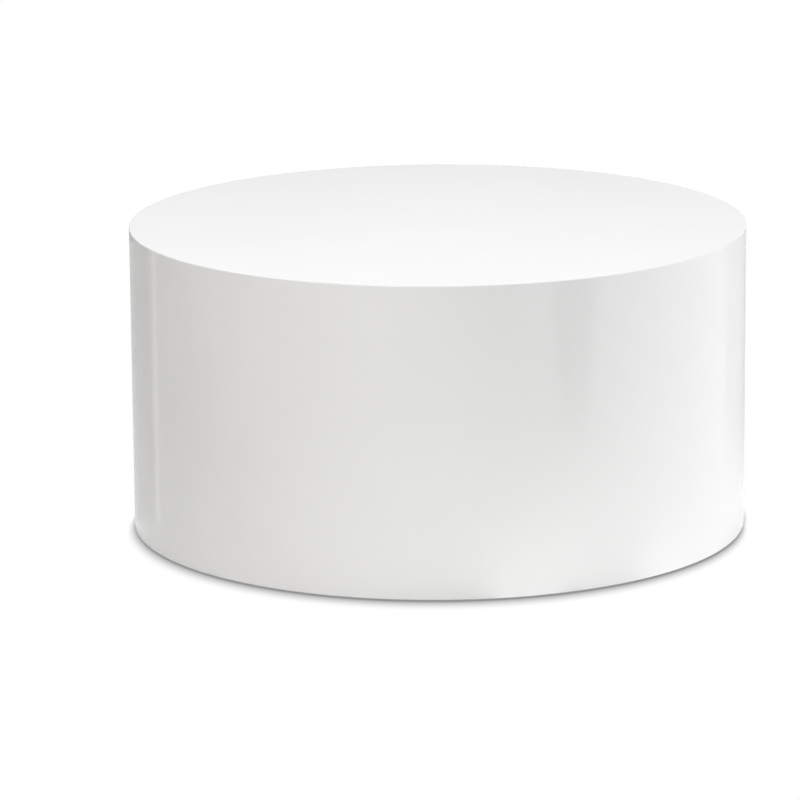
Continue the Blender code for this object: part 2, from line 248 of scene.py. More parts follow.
def centre(name):
    low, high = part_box(name)
    return (low + high) / 2.0


def half_width(name):
    low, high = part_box(name)
    return (high.x - low.x) / 2.0


def about_z(angle):
    return Matrix.Rotation(angle, 4, "Z")


def over(name, height=0.0):
    """The move from the origin to a height on a node's own axis."""
    return Matrix.Translation((*centre(name).xy, height))


def screw_place(name, height, downward=False):
    """Where a screw or its hole starts, and which way it points."""
    place = over(name, height)
    return place @ Matrix.Rotation(math.pi, 4, "X") if downward else place


def deselect():
    if bpy.context.mode != "OBJECT":
        bpy.ops.object.mode_set(mode="OBJECT")
    bpy.ops.object.select_all(action="DESELECT")


def take(piece):
    """Make one piece the only selected and active object."""
    deselect()
    piece.select_set(True)
    bpy.context.view_layer.objects.active = piece


def settle():
    """Move the active piece's place and size into its mesh."""
    bpy.ops.object.transform_apply(location=True, rotation=True, scale=True)


def named(name):
    """Name the new piece that is active and move its place and size into its mesh."""
    piece = bpy.context.object
    piece.name = name
    piece.data.name = name
    settle()
    return piece


def pick_all():
    bpy.ops.mesh.select_mode(type="VERT")
    bpy.ops.mesh.select_all(action="SELECT")


def pick(test, kind="VERT"):
    """Select the vertices, edges or faces of the piece in edit mode that pass a test."""
    bpy.ops.mesh.select_mode(type=kind)
    bpy.ops.mesh.select_all(action="DESELECT")
    mesh = bpy.context.edit_object.data
    shape = bmesh.from_edit_mesh(mesh)
    items = {"VERT": shape.verts, "EDGE": shape.edges, "FACE": shape.faces}[kind]
    for item in items:
        if test(item):
            item.select_set(True)
    shape.select_flush_mode()
    bmesh.update_edit_mesh(mesh)


def edit(piece):
    """Open a piece in edit mode with all of it selected."""
    take(piece)
    bpy.ops.object.mode_set(mode="EDIT")
    pick_all()


def close_up():
    """Merge doubles and turn the faces of the piece in edit mode outwards, then leave edit mode."""
    pick_all()
    bpy.ops.mesh.remove_doubles(threshold=MERGE)
    bpy.ops.mesh.normals_make_consistent(inside=False)
    bpy.ops.object.mode_set(mode="OBJECT")


def widen(factor, middle=(0.0, 0.0)):
    """Scale what is selected away from the upright line through one point."""
    bpy.ops.transform.resize(value=(factor, factor, 1.0), center_override=(*middle, 0.0))


def draw_out(factor, rise=0.0):
    """Extrude what is selected, scale it away from the axis and lift it."""
    bpy.ops.mesh.extrude_region()
    widen(factor)
    bpy.ops.transform.translate(value=(0.0, 0.0, rise))


def block(name, size, place=ORIGIN, angle=0.0):
    """A box of one size at its place, to be shaped or to cut with."""
    deselect()
    bpy.ops.mesh.primitive_cube_add(size=1.0, location=place, rotation=(0.0, 0.0, angle), scale=size)
    return named(name)


def turn(name, profile, facets, ring=False):
    """Draw (radius, height) points out into a turned piece: a ring is joined up, others are capped."""
    deselect()
    radius, height = profile[0]
    bpy.ops.mesh.primitive_circle_add(vertices=facets, radius=radius, location=(0.0, 0.0, height))
    piece = named(name)
    edit(piece)
    for (radius, height), (next_radius, next_height) in zip(profile, profile[1:]):
        draw_out(next_radius / radius, next_height - height)
    pick(lambda edge: edge.is_boundary, "EDGE")
    if ring:
        bpy.ops.mesh.bridge_edge_loops()
    else:
        bpy.ops.mesh.fill_holes(sides=0)
        pick(lambda face: len(face.verts) == facets, "FACE")
        bpy.ops.mesh.poke()
    close_up()
    return piece


def arc(radius, height, size, first, last):
    """Points of a rounded edge about a centre, at angles from straight up towards the outside."""
    angles = [first + (last - first) * index / ARC_STEPS for index in range(ARC_STEPS + 1)]
    return [(radius + size * math.sin(angle), height + size * math.cos(angle)) for angle in angles]


def apply(piece, kind, **settings):
    """Add one modifier to a piece and apply it."""
    take(piece)
    modifier = piece.modifiers.new(kind.lower(), kind)
    for key, value in settings.items():
        setattr(modifier, key, value)
    bpy.ops.object.modifier_apply(modifier=modifier.name)


def trim(piece, operation, tool, keep=False):
    """Cut, unite or intersect a piece with a tool, which is then removed unless it is kept."""
    apply(piece, "BOOLEAN", operation=operation, solver="EXACT", object=tool)
    if not keep:
        bpy.data.objects.remove(tool)


def copy_to(master, name, place):
    """A copy of a piece with a mesh of its own, moved to its place."""
    piece = master.copy()
    piece.data = master.data.copy()
    piece.name = name
    piece.data.name = name
    bpy.context.collection.objects.link(piece)
    piece.data.transform(place)
    return piece


def drill(name, profile, places):
    """One cutter that holds a turned drill at each place."""
    master = turn(name, profile, SMALL_FACETS)
    copies = [copy_to(master, f"{name}_{index}", place) for index, place in enumerate(places)]
    bpy.data.objects.remove(master)
    take(copies[0])
    for piece in copies:
        piece.select_set(True)
    bpy.ops.object.join()
    return copies[0]


def threaded_rod(name, root, crest, pitch, bottom, top):
    """Wind one turn of a thread's outline up the axis and trim both ends flat."""
    deselect()
    bpy.ops.mesh.primitive_plane_add(size=1.0, rotation=(QUARTER, 0.0, 0.0))
    rod = named(name)
    edit(rod)
    bpy.ops.transform.translate(value=(0.5, 0.0, 0.5))
    bpy.ops.transform.resize(value=(crest - root, 1.0, pitch), center_override=ORIGIN)
    bpy.ops.transform.translate(value=(root, 0.0, bottom - pitch))
    pick(lambda vertex: vertex.co.x > (root + crest) / 2.0)
    flank = (0.0, 0.0, bottom - pitch / 2.0)
    bpy.ops.transform.resize(value=(1.0, 1.0, THREAD_CREST), center_override=flank)
    pick_all()
    bpy.ops.mesh.delete(type="ONLY_FACE")
    pick(lambda edge: all(vertex.co.x < root + NEAR for vertex in edge.verts), "EDGE")
    bpy.ops.mesh.delete(type="EDGE")
    apply(
        rod,
        "SCREW",
        axis="Z",
        angle=math.tau,
        screw_offset=pitch,
        iterations=math.ceil((top - bottom) / pitch) + 2,
        steps=THREAD_FACETS,
        render_steps=THREAD_FACETS,
        use_merge_vertices=True,
        merge_threshold=MERGE,
    )
    edit(rod)
    for height, lower in ((bottom, True), (top, False)):
        pick_all()
        sides = {"clear_inner": lower, "clear_outer": not lower}
        bpy.ops.mesh.bisect(plane_co=(0.0, 0.0, height), plane_no=UPWARD, use_fill=True, **sides)
    close_up()
    return rod


def draw_tip(rod, height, tip, narrow):
    """Draw the end of a rod at one height out into a point or a chamfer."""
    edit(rod)
    pick(lambda face: all(vertex.co.z > height - NEAR for vertex in face.verts), "FACE")
    draw_out(narrow, tip)
    close_up()


def finish(piece, body, slot, name):
    """Clear a piece of slivers, finish it, and let it stand for its node and ride on its body."""
    edit(piece)
    bpy.ops.mesh.dissolve_degenerate(threshold=SLIVER)
    close_up()
    settle()
    bpy.ops.object.shade_smooth_by_angle(angle=SMOOTH_ANGLE)
    piece.data.materials.clear()
    for look in SLOT_FINISHES[slot]:
        piece.data.materials.append(material(look))
    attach(piece, body)
    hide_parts(name)


def leave_bare(piece, test):
    """Give the faces that pass a test the second of a piece's finishes."""
    for face in piece.data.polygons:
        if test(face):
            face.material_index = 1


def set_out(master, look, slot, nodes, place=over, body="drum", drills=()):
    """Copy a master to each node's place, drill and finish each copy, and remove what was used."""
    for name in nodes:
        piece = copy_to(master, f"{look}_{name}", place(name))
        for tool in drills:
            trim(piece, "DIFFERENCE", tool, keep=True)
        finish(piece, body.format(name.rpartition("_")[2]), slot, name)
    for spent in (master, *drills):
        bpy.data.objects.remove(spent)


def feed(tree, target, inputs):
    """Set a node's inputs to values, or link them to other nodes' outputs."""
    for key, value in inputs.items():
        if isinstance(value, NodeSocket):
            tree.links.new(value, target.inputs[key])
        else:
            target.inputs[key].default_value = value


def node(tree, kind, inputs=None, **settings):
    """Add one shader node, set it up and feed its inputs."""
    made = tree.nodes.new(f"ShaderNode{kind}")
    for key, value in settings.items():
        setattr(made, key, value)
    feed(tree, made, inputs or {})
    return made


def coordinates(tree):
    return node(tree, "TexCoord").outputs["Object"]


def height_of(tree, vector):
    return node(tree, "SeparateXYZ", {"Vector": vector}).outputs["Z"]


def facing_up(tree):
    """How far a face looks up: 1 for a level face, -1 for one that looks down."""
    return height_of(tree, node(tree, "NewGeometry").outputs["Normal"])


def mixed(tree, factor, first, second):
    """Mix two colours by a factor and return the colour's socket."""
    mix = node(tree, "Mix", {"Factor": factor}, data_type="RGBA")
    for key, value in {"A_Color": first, "B_Color": second}.items():
        place = [socket.identifier for socket in mix.inputs].index(key)
        feed(tree, mix, {place: value if isinstance(value, NodeSocket) else (*value, 1.0)})
    return next(socket for socket in mix.outputs if socket.type == "RGBA")


def ranged(tree, value, span=(0.0, 1.0), result=(0.0, 1.0)):
    """Map a value from one range to another, held at both ends, and return the result's socket."""
    ends = zip(("From Min", "From Max", "To Min", "To Max"), (*span, *result))
    return node(tree, "MapRange", {"Value": value, **dict(ends)}, clamp=True).outputs["Result"]


def combined(tree, operation, first, second=0.0, clamp=False):
    """One step of arithmetic on values or sockets, as a socket."""
    return node(tree, "Math", {0: first, 1: second}, operation=operation, use_clamp=clamp).outputs[0]


def vectored(tree, operation, first, second=ORIGIN, result="Vector"):
    """One step of arithmetic on vectors or sockets, as a socket."""
    return node(tree, "VectorMath", {0: first, 1: second}, operation=operation).outputs[result]


def noise(tree, vector, scale, detail, roughness=0.5, result="Fac"):
    inputs = {"Vector": vector, "Scale": scale, "Detail": detail, "Roughness": roughness}
    return node(tree, "TexNoise", inputs).outputs[result]


def bumped(tree, height, distance, strength):
    """Turn a height into a normal."""
    inputs = {"Height": height, "Distance": distance, "Strength": strength}
    return node(tree, "Bump", inputs).outputs["Normal"]


def tone_drift(tree, given):
    """Slow change of tone over a surface, with a finer one on top."""
    finer = combined(tree, "MULTIPLY", given["Scale"], FINER)
    broad = noise(tree, given["Vector"], given["Scale"], detail=2.0)
    fine = noise(tree, given["Vector"], finer, detail=4.0)
    span = (0.3, 0.7)
    return {"Broad": ranged(tree, broad, span), "Fine": ranged(tree, fine, span)}


def drawn_fibre(tree, given):
    """Fibres drawn out along one direction: how dark a fibre is and how high it stands."""
    drawn = vectored(tree, "MULTIPLY", given["Vector"], given["Stretch"])
    strands = noise(tree, drawn, given["Scale"], detail=5.0, roughness=0.65)
    dark = ranged(tree, strands, span=(0.48, 0.72))
    return {"Dark": dark, "Height": ranged(tree, strands, span=(0.25, 0.75))}


def settled_dust(tree, given):
    """Sanding dust that has settled on faces that look up, in loose patches."""
    facing = ranged(tree, facing_up(tree), span=(0.3, 0.9))
    patches = ranged(tree, noise(tree, given["Vector"], scale=46.0, detail=6.0), span=(0.42, 0.66))
    cover = combined(tree, "MULTIPLY", patches, given["Cover"])
    return {"Mask": combined(tree, "MULTIPLY", cover, facing)}


# Effects that several finishes share, each with its inputs and their defaults
SHARED_EFFECTS = {
    "Tone drift": (tone_drift, {"Vector": ORIGIN, "Scale": 4.0}),
    "Fibre": (drawn_fibre, {"Vector": ORIGIN, "Stretch": (1.0, 1.0, 1.0), "Scale": 300.0}),
    "Settled dust": (settled_dust, {"Vector": ORIGIN, "Cover": 0.5}),
}


def new_group(name):
    """Build the node group of one shared effect, with named sockets."""
    build, inputs = SHARED_EFFECTS[name]
    tree = bpy.data.node_groups.new(name, "ShaderNodeTree")
    for label, default in inputs.items():
        kind = "NodeSocketFloat" if isinstance(default, float) else "NodeSocketVector"
        tree.interface.new_socket(label, in_out="INPUT", socket_type=kind).default_value = default
    results = build(tree, tree.nodes.new("NodeGroupInput").outputs)
    for label in results:
        tree.interface.new_socket(label, in_out="OUTPUT", socket_type="NodeSocketFloat")
    feed(tree, tree.nodes.new("NodeGroupOutput"), results)
    return tree


def placed(tree, name, **inputs):
    """Place a shared effect in a material, built when it is first asked for, and return its outputs."""
    group = bpy.data.node_groups.get(name) or new_group(name)
    return node(tree, "Group", inputs, node_tree=group).outputs


def gloss_white_lacquer(tree, place, finishes):
    """Sprayed and polished lacquer with a faint orange peel."""
    drift = placed(tree, "Tone drift", Vector=place, Scale=5.0)
    peel = noise(tree, place, scale=230.0, detail=1.5)
    gloss = [finishes.gloss * spread for spread in GLOSS_SPREAD]
    return {
        "Base Color": mixed(tree, drift["Broad"], finishes.lacquer, finishes.lacquer_deep),
        "Roughness": ranged(tree, drift["Fine"], result=gloss),
        "IOR": 1.5,
        "Normal": bumped(tree, peel, distance=finishes.peel, strength=1.0),
    }


def lacquer_mist(tree, place, finishes):
    """Mask of the lacquer that drifted in under the rim as the wall was sprayed."""
    heights = (RIM_HEIGHT, RIM_HEIGHT + finishes.mist_height)
    low_down = ranged(tree, height_of(tree, place), heights, result=(0.75, 0.0))
    level = vectored(tree, "MULTIPLY", place, (1.0, 1.0, 0.0))
    outward = vectored(tree, "LENGTH", level, result="Value")
    near_rim = ranged(tree, outward, span=(FORMER_OUTER - finishes.mist_reach, DRUM_RADIUS))
    drops = noise(tree, place, scale=900.0, detail=2.0)
    spread = combined(tree, "MULTIPLY", low_down, near_rim)
    return combined(tree, "MULTIPLY", spread, ranged(tree, drops, span=(0.36, 0.64), result=(0.25, 1.0)))


def bare_fibreboard(tree, place, finishes):
    """Bare fibreboard, darker on its sawn edges, with lacquer mist near the rim."""
    drift = placed(tree, "Tone drift", Vector=place, Scale=9.0)
    fibre = placed(tree, "Fibre", Vector=place, Stretch=(1.0, 1.0, 2.5), Scale=420.0)
    dust = placed(tree, "Settled dust", Vector=place, Cover=0.4)["Mask"]
    flat = combined(tree, "ABSOLUTE", facing_up(tree))
    sawn = ranged(tree, flat, span=(0.4, 0.9), result=(0.45, 0.0))
    flecks = combined(tree, "ADD", fibre["Dark"], sawn, clamp=True)
    tone = mixed(tree, flecks, finishes.board, finishes.board_dark)
    tone = mixed(tree, ranged(tree, drift["Broad"], result=(0.0, 0.14)), tone, finishes.board_dark)
    tone = mixed(tree, lacquer_mist(tree, place, finishes), tone, finishes.lacquer_deep)
    return {
        "Base Color": mixed(tree, dust, tone, finishes.softwood),
        "Roughness": ranged(tree, fibre["Dark"], result=(0.68, 0.86)),
        "Normal": bumped(tree, fibre["Height"], distance=0.00012, strength=0.7),
    }


def planed_softwood(tree, place, finishes):
    """Planed softwood, with the rings of a board cut away from the heart."""
    drift = placed(tree, "Tone drift", Vector=place, Scale=6.0)
    fibre = placed(tree, "Fibre", Vector=place, Stretch=(1.0, 1.0, 0.05), Scale=700.0)
    heart = {"Vector": place, "Location": (0.83, 0.41, 0.0), "Scale": (1.0, 1.0, 0.06)}
    along = node(tree, "Mapping", heart).outputs["Vector"]
    wander = noise(tree, along, scale=16.0, detail=2.0, result="Color")
    bent = vectored(tree, "ADD", along, vectored(tree, "MULTIPLY", wander, (0.02, 0.02, 0.02)))
    growth = {"Vector": bent, "Scale": 62.0, "Distortion": 1.6, "Detail": 2.0, "Detail Scale": 1.2}
    kind = {"wave_type": "RINGS", "rings_direction": "Z", "wave_profile": "SAW"}
    rings = node(tree, "TexWave", growth, **kind).outputs["Fac"]
    late = ranged(tree, rings, span=(0.45, 1.0), result=(0.0, 0.85))
    fine = ranged(tree, fibre["Dark"], result=(0.0, 0.22))
    streaks = combined(tree, "ADD", late, fine, clamp=True)
    tone = mixed(tree, streaks, finishes.softwood, finishes.softwood_late)
    patchy = ranged(tree, drift["Broad"], result=(0.0, 0.18))
    return {
        "Base Color": mixed(tree, patchy, tone, finishes.beech),
        "Roughness": ranged(tree, streaks, result=(0.62, 0.48)),
        "Normal": bumped(tree, fibre["Height"], distance=0.00006, strength=0.6),
    }


def turned_beech(tree, place, finishes):
    """Turned beech with short dark rays."""
    drift = placed(tree, "Tone drift", Vector=place, Scale=30.0)
    fibre = placed(tree, "Fibre", Vector=place, Stretch=(1.0, 1.0, 0.12), Scale=1600.0)
    tone = mixed(tree, fibre["Dark"], finishes.beech, finishes.beech_fleck)
    patchy = ranged(tree, drift["Broad"], result=(0.0, 0.25))
    return {
        "Base Color": mixed(tree, patchy, tone, finishes.softwood),
        "Roughness": ranged(tree, fibre["Dark"], result=(0.50, 0.64)),
        "Normal": bumped(tree, fibre["Height"], distance=0.00004, strength=0.6),
    }


def zinc_plated_steel(tree, place, finishes):
    """Zinc plate, dulled in places and dusty on top."""
    drift = placed(tree, "Tone drift", Vector=place, Scale=85.0)
    dust = placed(tree, "Settled dust", Vector=place, Cover=0.3)["Mask"]
    dulled = combined(tree, "MULTIPLY", drift["Broad"], drift["Fine"])
    tone = mixed(tree, dulled, finishes.zinc, finishes.zinc_dull)
    return {
        "Base Color": mixed(tree, dust, tone, finishes.board),
        "Roughness": ranged(tree, drift["Fine"], result=(0.24, 0.46)),
        "Metallic": ranged(tree, dust, span=(0.0, 0.3), result=(1.0, 0.45)),
        "Normal": bumped(tree, drift["Fine"], distance=0.00002, strength=0.5),
    }


def moulded_nylon(tree, place, finishes):
    """Moulded nylon with a fine spark texture, scuffed pale on its sole."""
    drift = placed(tree, "Tone drift", Vector=place, Scale=120.0)
    sole = ranged(tree, height_of(tree, place), span=(0.0, 0.0007), result=(0.9, 0.0))
    scuff = combined(tree, "MULTIPLY", sole, drift["Fine"])
    spark = noise(tree, place, scale=2600.0, detail=2.0)
    return {
        "Base Color": mixed(tree, scuff, finishes.nylon, finishes.nylon_scuffed),
        "Roughness": ranged(tree, drift["Broad"], result=(0.42, 0.56)),
        "Normal": bumped(tree, spark, distance=0.00003, strength=0.6),
    }


# Finishes of the pieces in each slot of the record
SLOT_FINISHES = {
    "lacquered_board": (gloss_white_lacquer, bare_fibreboard),
    "raw_board": (bare_fibreboard,),
    "softwood": (planed_softwood,),
    "beech": (turned_beech,),
    "zinc_steel": (zinc_plated_steel,),
    "nylon": (moulded_nylon,),
}


def material(look):
    """The material of one finish, named like it and made when it is first asked for."""
    name = look.__name__.replace("_", " ")
    if name in bpy.data.materials:
        return bpy.data.materials[name]
    made = bpy.data.materials.new(name)
    made.use_nodes = True
    tree = made.node_tree
    inputs = look(tree, coordinates(tree), bpy.context.scene.drum_finish)
    feed(tree, tree.nodes["Principled BSDF"], inputs)
    return made


def mitre_height(radius, side):
    """Height of a mitre face: the panel's side is +1 and the wall's side is -1."""
    joint = bpy.context.scene.drum_shell.joint
    return TABLE_HEIGHT - (DRUM_RADIUS - radius) + side * joint / math.sqrt(2.0)


def mitre_turn():
    """Angle that half of the filled joint takes of the arris."""
    shell = bpy.context.scene.drum_shell
    return math.asin(shell.joint / 2.0 / shell.arris)


class DrumStep:
    """What the operators share: each can be undone."""

    bl_options = {"REGISTER", "UNDO"}


class DRUM_OT_top_panel(DrumStep, Operator):
    """Model the lacquered top panel with its rounded arris and mitred edge"""

    bl_idname = "drum_table.top_panel"
    bl_label = "Top Panel"

    def execute(self, context):
        arris = context.scene.drum_shell.arris
        rings = [DRUM_RADIUS * twelfths / 12.0 for twelfths in TOP_RINGS]
        rings += [DRUM_RADIUS - 3.0 * arris, DRUM_RADIUS - EDGE_HOLD * arris]
        profile = [(radius, TABLE_HEIGHT) for radius in rings]
        profile += arc(DRUM_RADIUS - arris, TABLE_HEIGHT - arris, arris, 0.0, EIGHTH - mitre_turn())
        profile += [(FORMER_OUTER, mitre_height(FORMER_OUTER, 1)), (FORMER_OUTER, TOP_UNDERSIDE)]
        profile += [(radius, TOP_UNDERSIDE) for radius in reversed(rings) if radius < FORMER_OUTER]
        panel = turn("lacquered_top", profile, RIM_FACETS)
        finish(panel, "drum", "lacquered_board", "top_panel")
        leave_bare(panel, lambda face: face.normal.z < math.cos(EIGHTH) / 2.0)
        return {"FINISHED"}


class DRUM_OT_wall_skin(DrumStep, Operator):
    """Model the lacquered skin of the wall, with its filled seam at the back"""

    bl_idname = "drum_table.wall_skin"
    bl_label = "Wall Skin"

    def execute(self, context):
        shell = context.scene.drum_shell
        arris = shell.arris
        ease = shell.rim_ease
        inner = CORE_OUTER + FIT
        profile = arc(DRUM_RADIUS - arris, TABLE_HEIGHT - arris, arris, EIGHTH + mitre_turn(), QUARTER)
        profile += [(DRUM_RADIUS, TABLE_HEIGHT - arris * EDGE_HOLD)]
        profile += [(DRUM_RADIUS, RIM_HEIGHT + ease * EDGE_HOLD)]
        profile += arc(DRUM_RADIUS - ease, RIM_HEIGHT + ease, ease, QUARTER, math.pi)
        profile += [(inner, RIM_HEIGHT), (inner, mitre_height(inner, -1))]
        skin = turn("lacquered_wall", profile, RIM_FACETS, ring=True)
        self.sink_seam(skin, shell)
        finish(skin, "drum", "lacquered_board", "wall_skin")
        leave_bare(skin, self.is_hidden)
        return {"FINISHED"}

    def sink_seam(self, skin, shell):
        """Bevel the upright line of the seam and draw its middle in a little."""

        def on_seam(vertex):
            outside = vertex.co.xy.length > DRUM_RADIUS - NEAR
            return outside and vertex.co.y > 0.0 and abs(vertex.co.x) < NEAR

        edit(skin)
        pick(lambda edge: all(on_seam(vertex) for vertex in edge.verts), "EDGE")
        bpy.ops.mesh.bevel(offset=shell.seam_width / 2.0, segments=2, affect="EDGES")
        pick(on_seam)
        widen(1.0 - shell.seam_depth / DRUM_RADIUS)
        close_up()

    def is_hidden(self, face):
        """True for the faces that look at the core or into the mitre."""
        outward = face.normal.x * face.center.x + face.normal.y * face.center.y
        return outward < -NEAR and face.center.z > RIM_HEIGHT + NEAR


class DRUM_OT_wall_core(DrumStep, Operator):
    """Model the bent core of the wall, kerfed on its inside so that it bends"""

    bl_idname = "drum_table.wall_core"
    bl_label = "Wall Core"

    def execute(self, context):
        shell = context.scene.drum_shell
        profile = [(CORE_OUTER, RIM_HEIGHT), (WALL_BORE, RIM_HEIGHT)]
        profile += [(radius, mitre_height(radius, -1)) for radius in (WALL_BORE, CORE_OUTER)]
        core = turn("kerfed_core", profile, shell.kerf_count, ring=True)
        trim(core, "DIFFERENCE", self.kerfs(shell))
        finish(core, "drum", "raw_board", "wall_core")
        return {"FINISHED"}

    def kerfs(self, shell):
        """Upright saw cuts all round the core, each in the middle of a facet."""
        deep = shell.kerf_depth + OVERRUN
        place = (WALL_BORE + shell.kerf_depth - deep / 2.0, 0.0, TABLE_HEIGHT / 2.0)
        blades = block("saw_kerfs", (deep, shell.kerf_width, TABLE_HEIGHT + OVERRUN), place)
        step = math.tau / shell.kerf_count
        blades.data.transform(about_z(step / 2.0))
        edit(blades)
        round_about = {"angle": math.tau - step, "center": ORIGIN, "axis": UPWARD}
        bpy.ops.mesh.spin(steps=shell.kerf_count - 1, dupli=True, **round_about)
        close_up()
        return blades


class DRUM_OT_formers(DrumStep, Operator):
    """Model the segments of the two ring formers, drilled for their fixings"""

    bl_idname = "drum_table.formers"
    bl_label = "Ring Formers"

    def execute(self, context):
        for level in ("upper", "lower"):
            nodes = numbered(f"{level}_former")
            low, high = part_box(nodes[0])
            master = self.segment(context.scene.drum_frame, low.z, high.z)
            drills = self.drills(context.scene.drum_fixings, level, low.z, high.z)

            def place(name):
                return about_z(nodes.index(name) * math.tau / len(nodes))

            set_out(master, "board", "raw_board", nodes, place, drills=drills)
        return {"FINISHED"}

    def segment(self, sizes, bottom, top):
        """Turn a ring with eased edges and trim it to one segment."""
        outer = FORMER_OUTER
        inner = outer - sizes.former_width
        ease = sizes.former_ease
        profile = [(outer, bottom + ease), (outer, top - ease), (outer - ease, top)]
        profile += [(inner + ease, top), (inner, top - ease), (inner, bottom + ease)]
        profile += [(inner + ease, bottom), (outer - ease, bottom)]
        ring = turn("former_segment", profile, FORMER_FACETS, ring=True)
        edit(ring)
        for normal in ((1.0, 0.0, 0.0), (0.0, 1.0, 0.0)):
            pick_all()
            start = Vector(normal) * FIT / 2.0
            bpy.ops.mesh.bisect(plane_co=start, plane_no=normal, use_fill=True, clear_inner=True)
        close_up()
        return ring

    def drills(self, sizes, level, bottom, top):
        """Countersinking drills for the screws of one former and straight ones for the rest."""
        through = top - bottom + 2.0 * OVERRUN
        head = sizes.screw_head + FIT
        shank = sizes.screw_crest + FIT
        sink = [(head, -OVERRUN), (head, 0.0), (shank, sizes.screw_sink), (shank, through)]
        uprights = numbered(f"upright_{level}_screw")
        if level == "upper":
            screws = [screw_place(name, top, downward=True) for name in uprights]
            screws += [screw_place(name, bottom) for name in numbered("top_screw")]
            others = numbered("top_dowel")
            bore = half_width(others[0]) + FIT
        else:
            screws = [screw_place(name, bottom) for name in uprights]
            others = numbered("insert_nut")
            bore = half_width(others[0]) - sizes.insert_flange + FIT
        straight = [(bore, -OVERRUN), (bore, through)]
        bores = [over(name, bottom) for name in others]
        return [drill("screw_sinks", sink, screws), drill("straight_bores", straight, bores)]


class DRUM_OT_uprights(DrumStep, Operator):
    """Model the planed uprights between the formers"""

    bl_idname = "drum_table.uprights"
    bl_label = "Uprights"

    def execute(self, context):
        sizes = context.scene.drum_frame
        nodes = numbered("upright")
        low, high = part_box(nodes[0])
        middle = centre(nodes[0])
        size = (sizes.upright_depth, sizes.upright_width, high.z - low.z)
        master = block("upright_master", size, (middle.xy.length, 0.0, middle.z))
        edit(master)
        pick(self.stands, "EDGE")
        bpy.ops.mesh.bevel(offset=sizes.upright_ease, segments=4, affect="EDGES")
        pick(lambda edge: not self.stands(edge), "EDGE")
        bpy.ops.mesh.bevel(offset=sizes.upright_ease / 4.0, segments=1, affect="EDGES")
        close_up()
        set_out(master, "planed", "softwood", nodes, self.place)
        return {"FINISHED"}

    def place(self, name):
        return about_z(math.atan2(centre(name).y, centre(name).x))

    def stands(self, edge):
        first, last = edge.verts
        return abs(first.co.z - last.co.z) > NEAR


class DRUM_OT_wood_screws(DrumStep, Operator):
    """Model the countersunk wood screws with their threads and cross recesses"""

    bl_idname = "drum_table.wood_screws"
    bl_label = "Wood Screws"

    def execute(self, context):
        for stem, downward in SCREWS:
            nodes = numbered(stem)
            low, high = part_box(nodes[0])
            master = self.screw(context.scene.drum_fixings, high.z - low.z)
            start = high.z if downward else low.z

            def place(name):
                return screw_place(name, start, downward) @ about_z(nodes.index(name) * SCREW_TURN)

            set_out(master, "threaded", "zinc_steel", nodes, place)
        return {"FINISHED"}

    def screw(self, sizes, long):
        """A screw along +Z with the face of its head at the origin."""
        head = sizes.screw_head
        neck = sizes.screw_root + (sizes.screw_crest - sizes.screw_root) * SCREW_NECK
        bare = sizes.screw_sink + sizes.screw_pitch * 2.0
        edge = sizes.screw_sink / 8.0
        profile = [(head * HEAD_RING, 0.0), (head - edge, 0.0), (head, edge), (head, 2.0 * edge)]
        profile += [(neck, sizes.screw_sink), (neck, bare + sizes.screw_pitch)]
        screw = turn("screw_master", profile, SMALL_FACETS)
        end = long - sizes.screw_tip
        thread = (sizes.screw_root, sizes.screw_crest, sizes.screw_pitch)
        rod = threaded_rod("screw_thread", *thread, bare, end)
        draw_tip(rod, end, sizes.screw_tip, SCREW_POINT)
        trim(screw, "UNION", rod)
        trim(screw, "DIFFERENCE", self.cross(sizes))
        return screw

    def cross(self, sizes):
        """The tapered cross that a driver fits in the head."""
        long, wide, deep = CROSS
        size = (sizes.screw_head * long, sizes.screw_head * wide, sizes.screw_sink * deep)
        arms = []
        for angle in (0.0, QUARTER):
            arm = block(f"driver_arm_{len(arms)}", size, angle=angle)
            edit(arm)
            pick(lambda vertex: vertex.co.z > 0.0)
            widen(CROSS_TAPER)
            close_up()
            arms.append(arm)
        trim(arms[0], "UNION", arms[1])
        return arms[0]


class DRUM_OT_dowels(DrumStep, Operator):
    """Model the fluted beech dowels that locate the top panel"""

    bl_idname = "drum_table.dowels"
    bl_label = "Dowels"

    def execute(self, context):
        sizes = context.scene.drum_fixings
        nodes = numbered("top_dowel")
        low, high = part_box(nodes[0])
        radius = half_width(nodes[0])
        ease = radius / 4.0
        profile = [(radius - ease, low.z), (radius, low.z + ease)]
        profile += [(radius, high.z - ease), (radius - ease, high.z)]
        facets = sizes.dowel_flutes * FLUTE_FACETS
        master = turn("dowel_master", profile, facets)

        def in_flute(vertex):
            step = round(math.atan2(vertex.co.y, vertex.co.x) / math.tau * facets)
            return vertex.co.xy.length > radius - NEAR and step % FLUTE_FACETS == 0

        edit(master)
        pick(in_flute)
        widen(1.0 - sizes.flute_depth / radius)
        close_up()
        set_out(master, "fluted", "beech", nodes)
        return {"FINISHED"}


